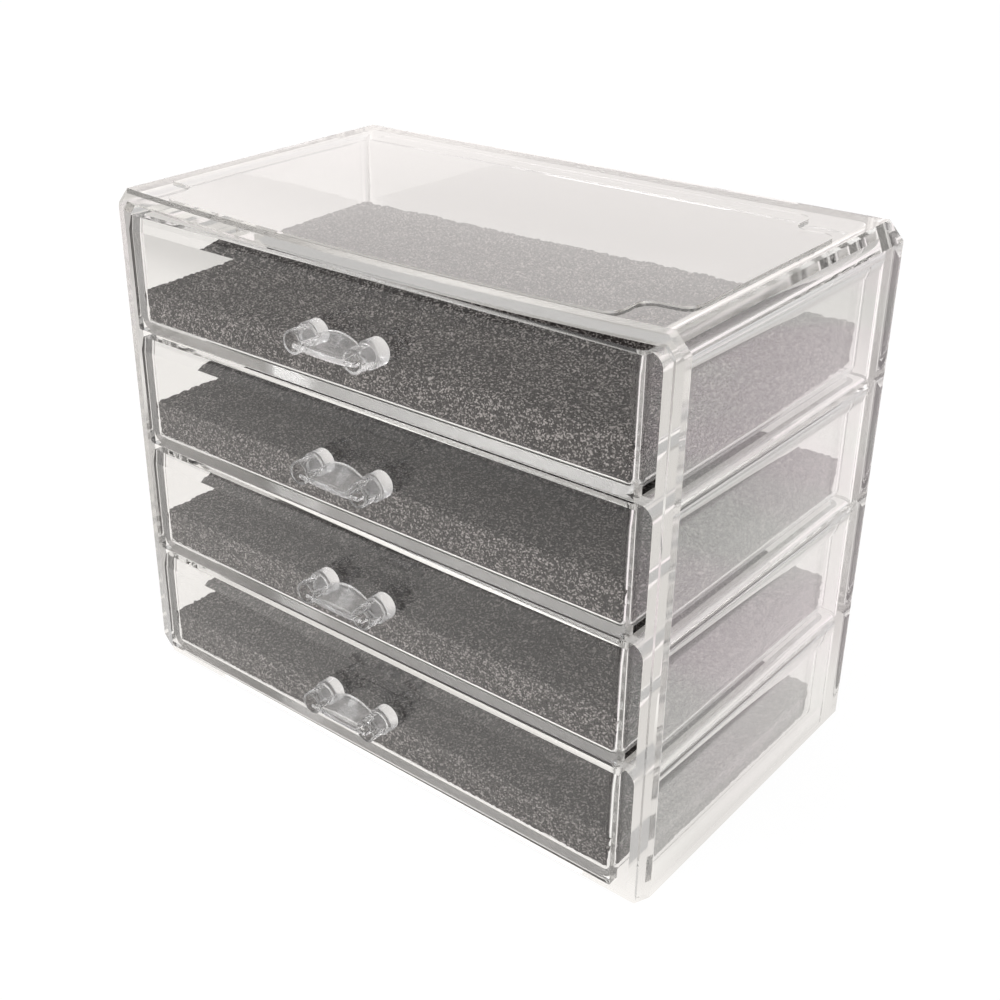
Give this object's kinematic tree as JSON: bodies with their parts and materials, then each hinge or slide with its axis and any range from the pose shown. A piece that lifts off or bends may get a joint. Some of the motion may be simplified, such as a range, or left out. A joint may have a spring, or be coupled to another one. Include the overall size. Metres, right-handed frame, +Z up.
{
  "type": "drawer organizer",
  "caption": "Clear plastic desk organizer: bevelled case with stacked sliding drawers, each with a grey foam liner and a clear bow handle.",
  "frame": {"origin": "middle of the case's flat underside, on the surface it stands on", "axes": "+X to the right, +Y to the back, +Z up; the drawers open towards -Y"},
  "size_m": [0.238, 0.1446, 0.1974],
  "materials": {
    "case_clear": "polished clear moulding",
    "drawer_clear": "polished clear moulding",
    "handle_clear": "polished clear moulding, frosted at the collars",
    "liner_foam": "open-cell foam with a fine speckle"
  },
  "bodies": {
    "case": {"case_body": "case_clear"},
    "drawer_1": {"drawer_tray_1": "drawer_clear", "foam_liner_1": "liner_foam", "bow_handle_1": "handle_clear"},
    "drawer_2": {"drawer_tray_2": "drawer_clear", "foam_liner_2": "liner_foam", "bow_handle_2": "handle_clear"},
    "drawer_3": {"drawer_tray_3": "drawer_clear", "foam_liner_3": "liner_foam", "bow_handle_3": "handle_clear"},
    "drawer_4": {"drawer_tray_4": "drawer_clear", "foam_liner_4": "liner_foam", "bow_handle_4": "handle_clear"}
  },
  "joints": [
    {"name": "drawer_1_slide", "type": "slide", "parent": "case", "child": "drawer_1", "axis": [0, -1, 0], "range_m": [0, 0.1]},
    {"name": "drawer_2_slide", "type": "slide", "parent": "case", "child": "drawer_2", "axis": [0, -1, 0], "range_m": [0, 0.1]},
    {"name": "drawer_3_slide", "type": "slide", "parent": "case", "child": "drawer_3", "axis": [0, -1, 0], "range_m": [0, 0.1]},
    {"name": "drawer_4_slide", "type": "slide", "parent": "case", "child": "drawer_4", "axis": [0, -1, 0], "range_m": [0, 0.1]}
  ]
}
